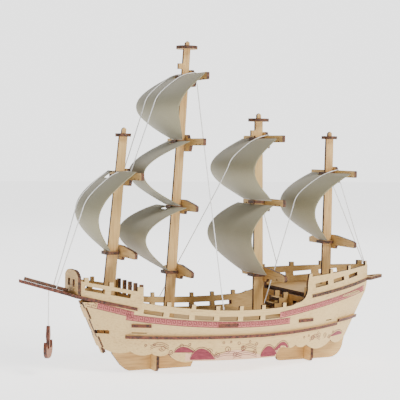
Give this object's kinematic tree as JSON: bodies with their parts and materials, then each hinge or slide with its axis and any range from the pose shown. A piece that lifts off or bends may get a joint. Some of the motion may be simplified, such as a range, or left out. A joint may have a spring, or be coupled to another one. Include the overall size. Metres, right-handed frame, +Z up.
{
  "type": "wooden ship puzzle model",
  "caption": "Slot-together plywood puzzle of a tall sailing ship: bent hull sides, flat decks, masts and yards, bellied sails, loose rigging strings and an anchor that hangs from the bowsprit.",
  "frame": {"origin": "on the ground, under the middle of the ship's overall length and breadth", "axes": "+X towards the stern, +Y to starboard, +Z up; the port side looks along -Y"},
  "size_m": [0.38, 0.113, 0.3055],
  "materials": {
    "plywood": "raw plywood, satin, laser-burnt edges",
    "printed_side": "raw plywood, satin, with a crimson print",
    "sail_sheet": "thin matte grey-green sheet",
    "string": "off-white twisted string"
  },
  "bodies": {
    "ship": {"after_backstay_port": "string", "after_backstay_starboard": "string", "after_lower_yard": "plywood", "after_sail": "sail_sheet", "after_stay": "string", "after_upper_yard": "plywood", "aftermast": "plywood", "aftermast_top": "plywood", "bow_bulkhead": "plywood", "bow_stay_port": "string", "bow_stay_starboard": "string", "bow_transom": "plywood", "bowsprit_brace": "plywood", "cross_foot_aft": "plywood", "cross_foot_fore": "plywood", "fore_lower_yard": "plywood", "fore_sail": "sail_sheet", "fore_stay_port": "string", "fore_stay_starboard": "string", "fore_upper_yard": "plywood", "forecastle_bulkhead": "plywood", "forecastle_deck": "plywood", "foremast": "plywood", "foremast_top": "plywood", "hull_side_port": "printed_side", "hull_side_starboard": "printed_side", "keel_plate": "plywood", "main_deck": "plywood", "main_lower_sail": "sail_sheet", "main_lower_yard": "plywood", "main_middle_yard": "plywood", "main_shroud": "string", "main_top_sail": "sail_sheet", "main_top_yard": "plywood", "main_upper_sail": "sail_sheet", "main_upper_yard": "plywood", "mainmast": "plywood", "mainmast_top": "plywood", "mizzen_brace": "string", "mizzen_lower_sail": "sail_sheet", "mizzen_lower_yard": "plywood", "mizzen_middle_yard": "plywood", "mizzen_stay": "string", "mizzen_upper_sail": "sail_sheet", "mizzen_upper_yard": "plywood", "mizzenmast": "plywood", "mizzenmast_top": "plywood", "poop_bulkhead": "plywood", "poop_deck": "plywood", "quarter_wale_port": "plywood", "quarter_wale_starboard": "plywood", "stair_stringer_port": "plywood", "stair_stringer_starboard": "plywood", "stair_treads": "plywood", "stern_transom": "plywood", "wale_port": "plywood", "wale_starboard": "plywood", "yard_clamps": "plywood"},
    "line": {"anchor_line": "string"},
    "anchor": {"anchor": "plywood"}
  },
  "joints": [
    {"name": "line_swing", "type": "hinge", "parent": "ship", "child": "line", "pos_m": [-0.1625, 0, 0.0765], "axis": [0, 1, 0], "range_deg": [-20, 35]},
    {"name": "anchor_swing", "type": "hinge", "parent": "line", "child": "anchor", "pos_m": [-0.1625, 0, 0.045], "axis": [0, 1, 0], "range_deg": [-35, 35]}
  ]
}
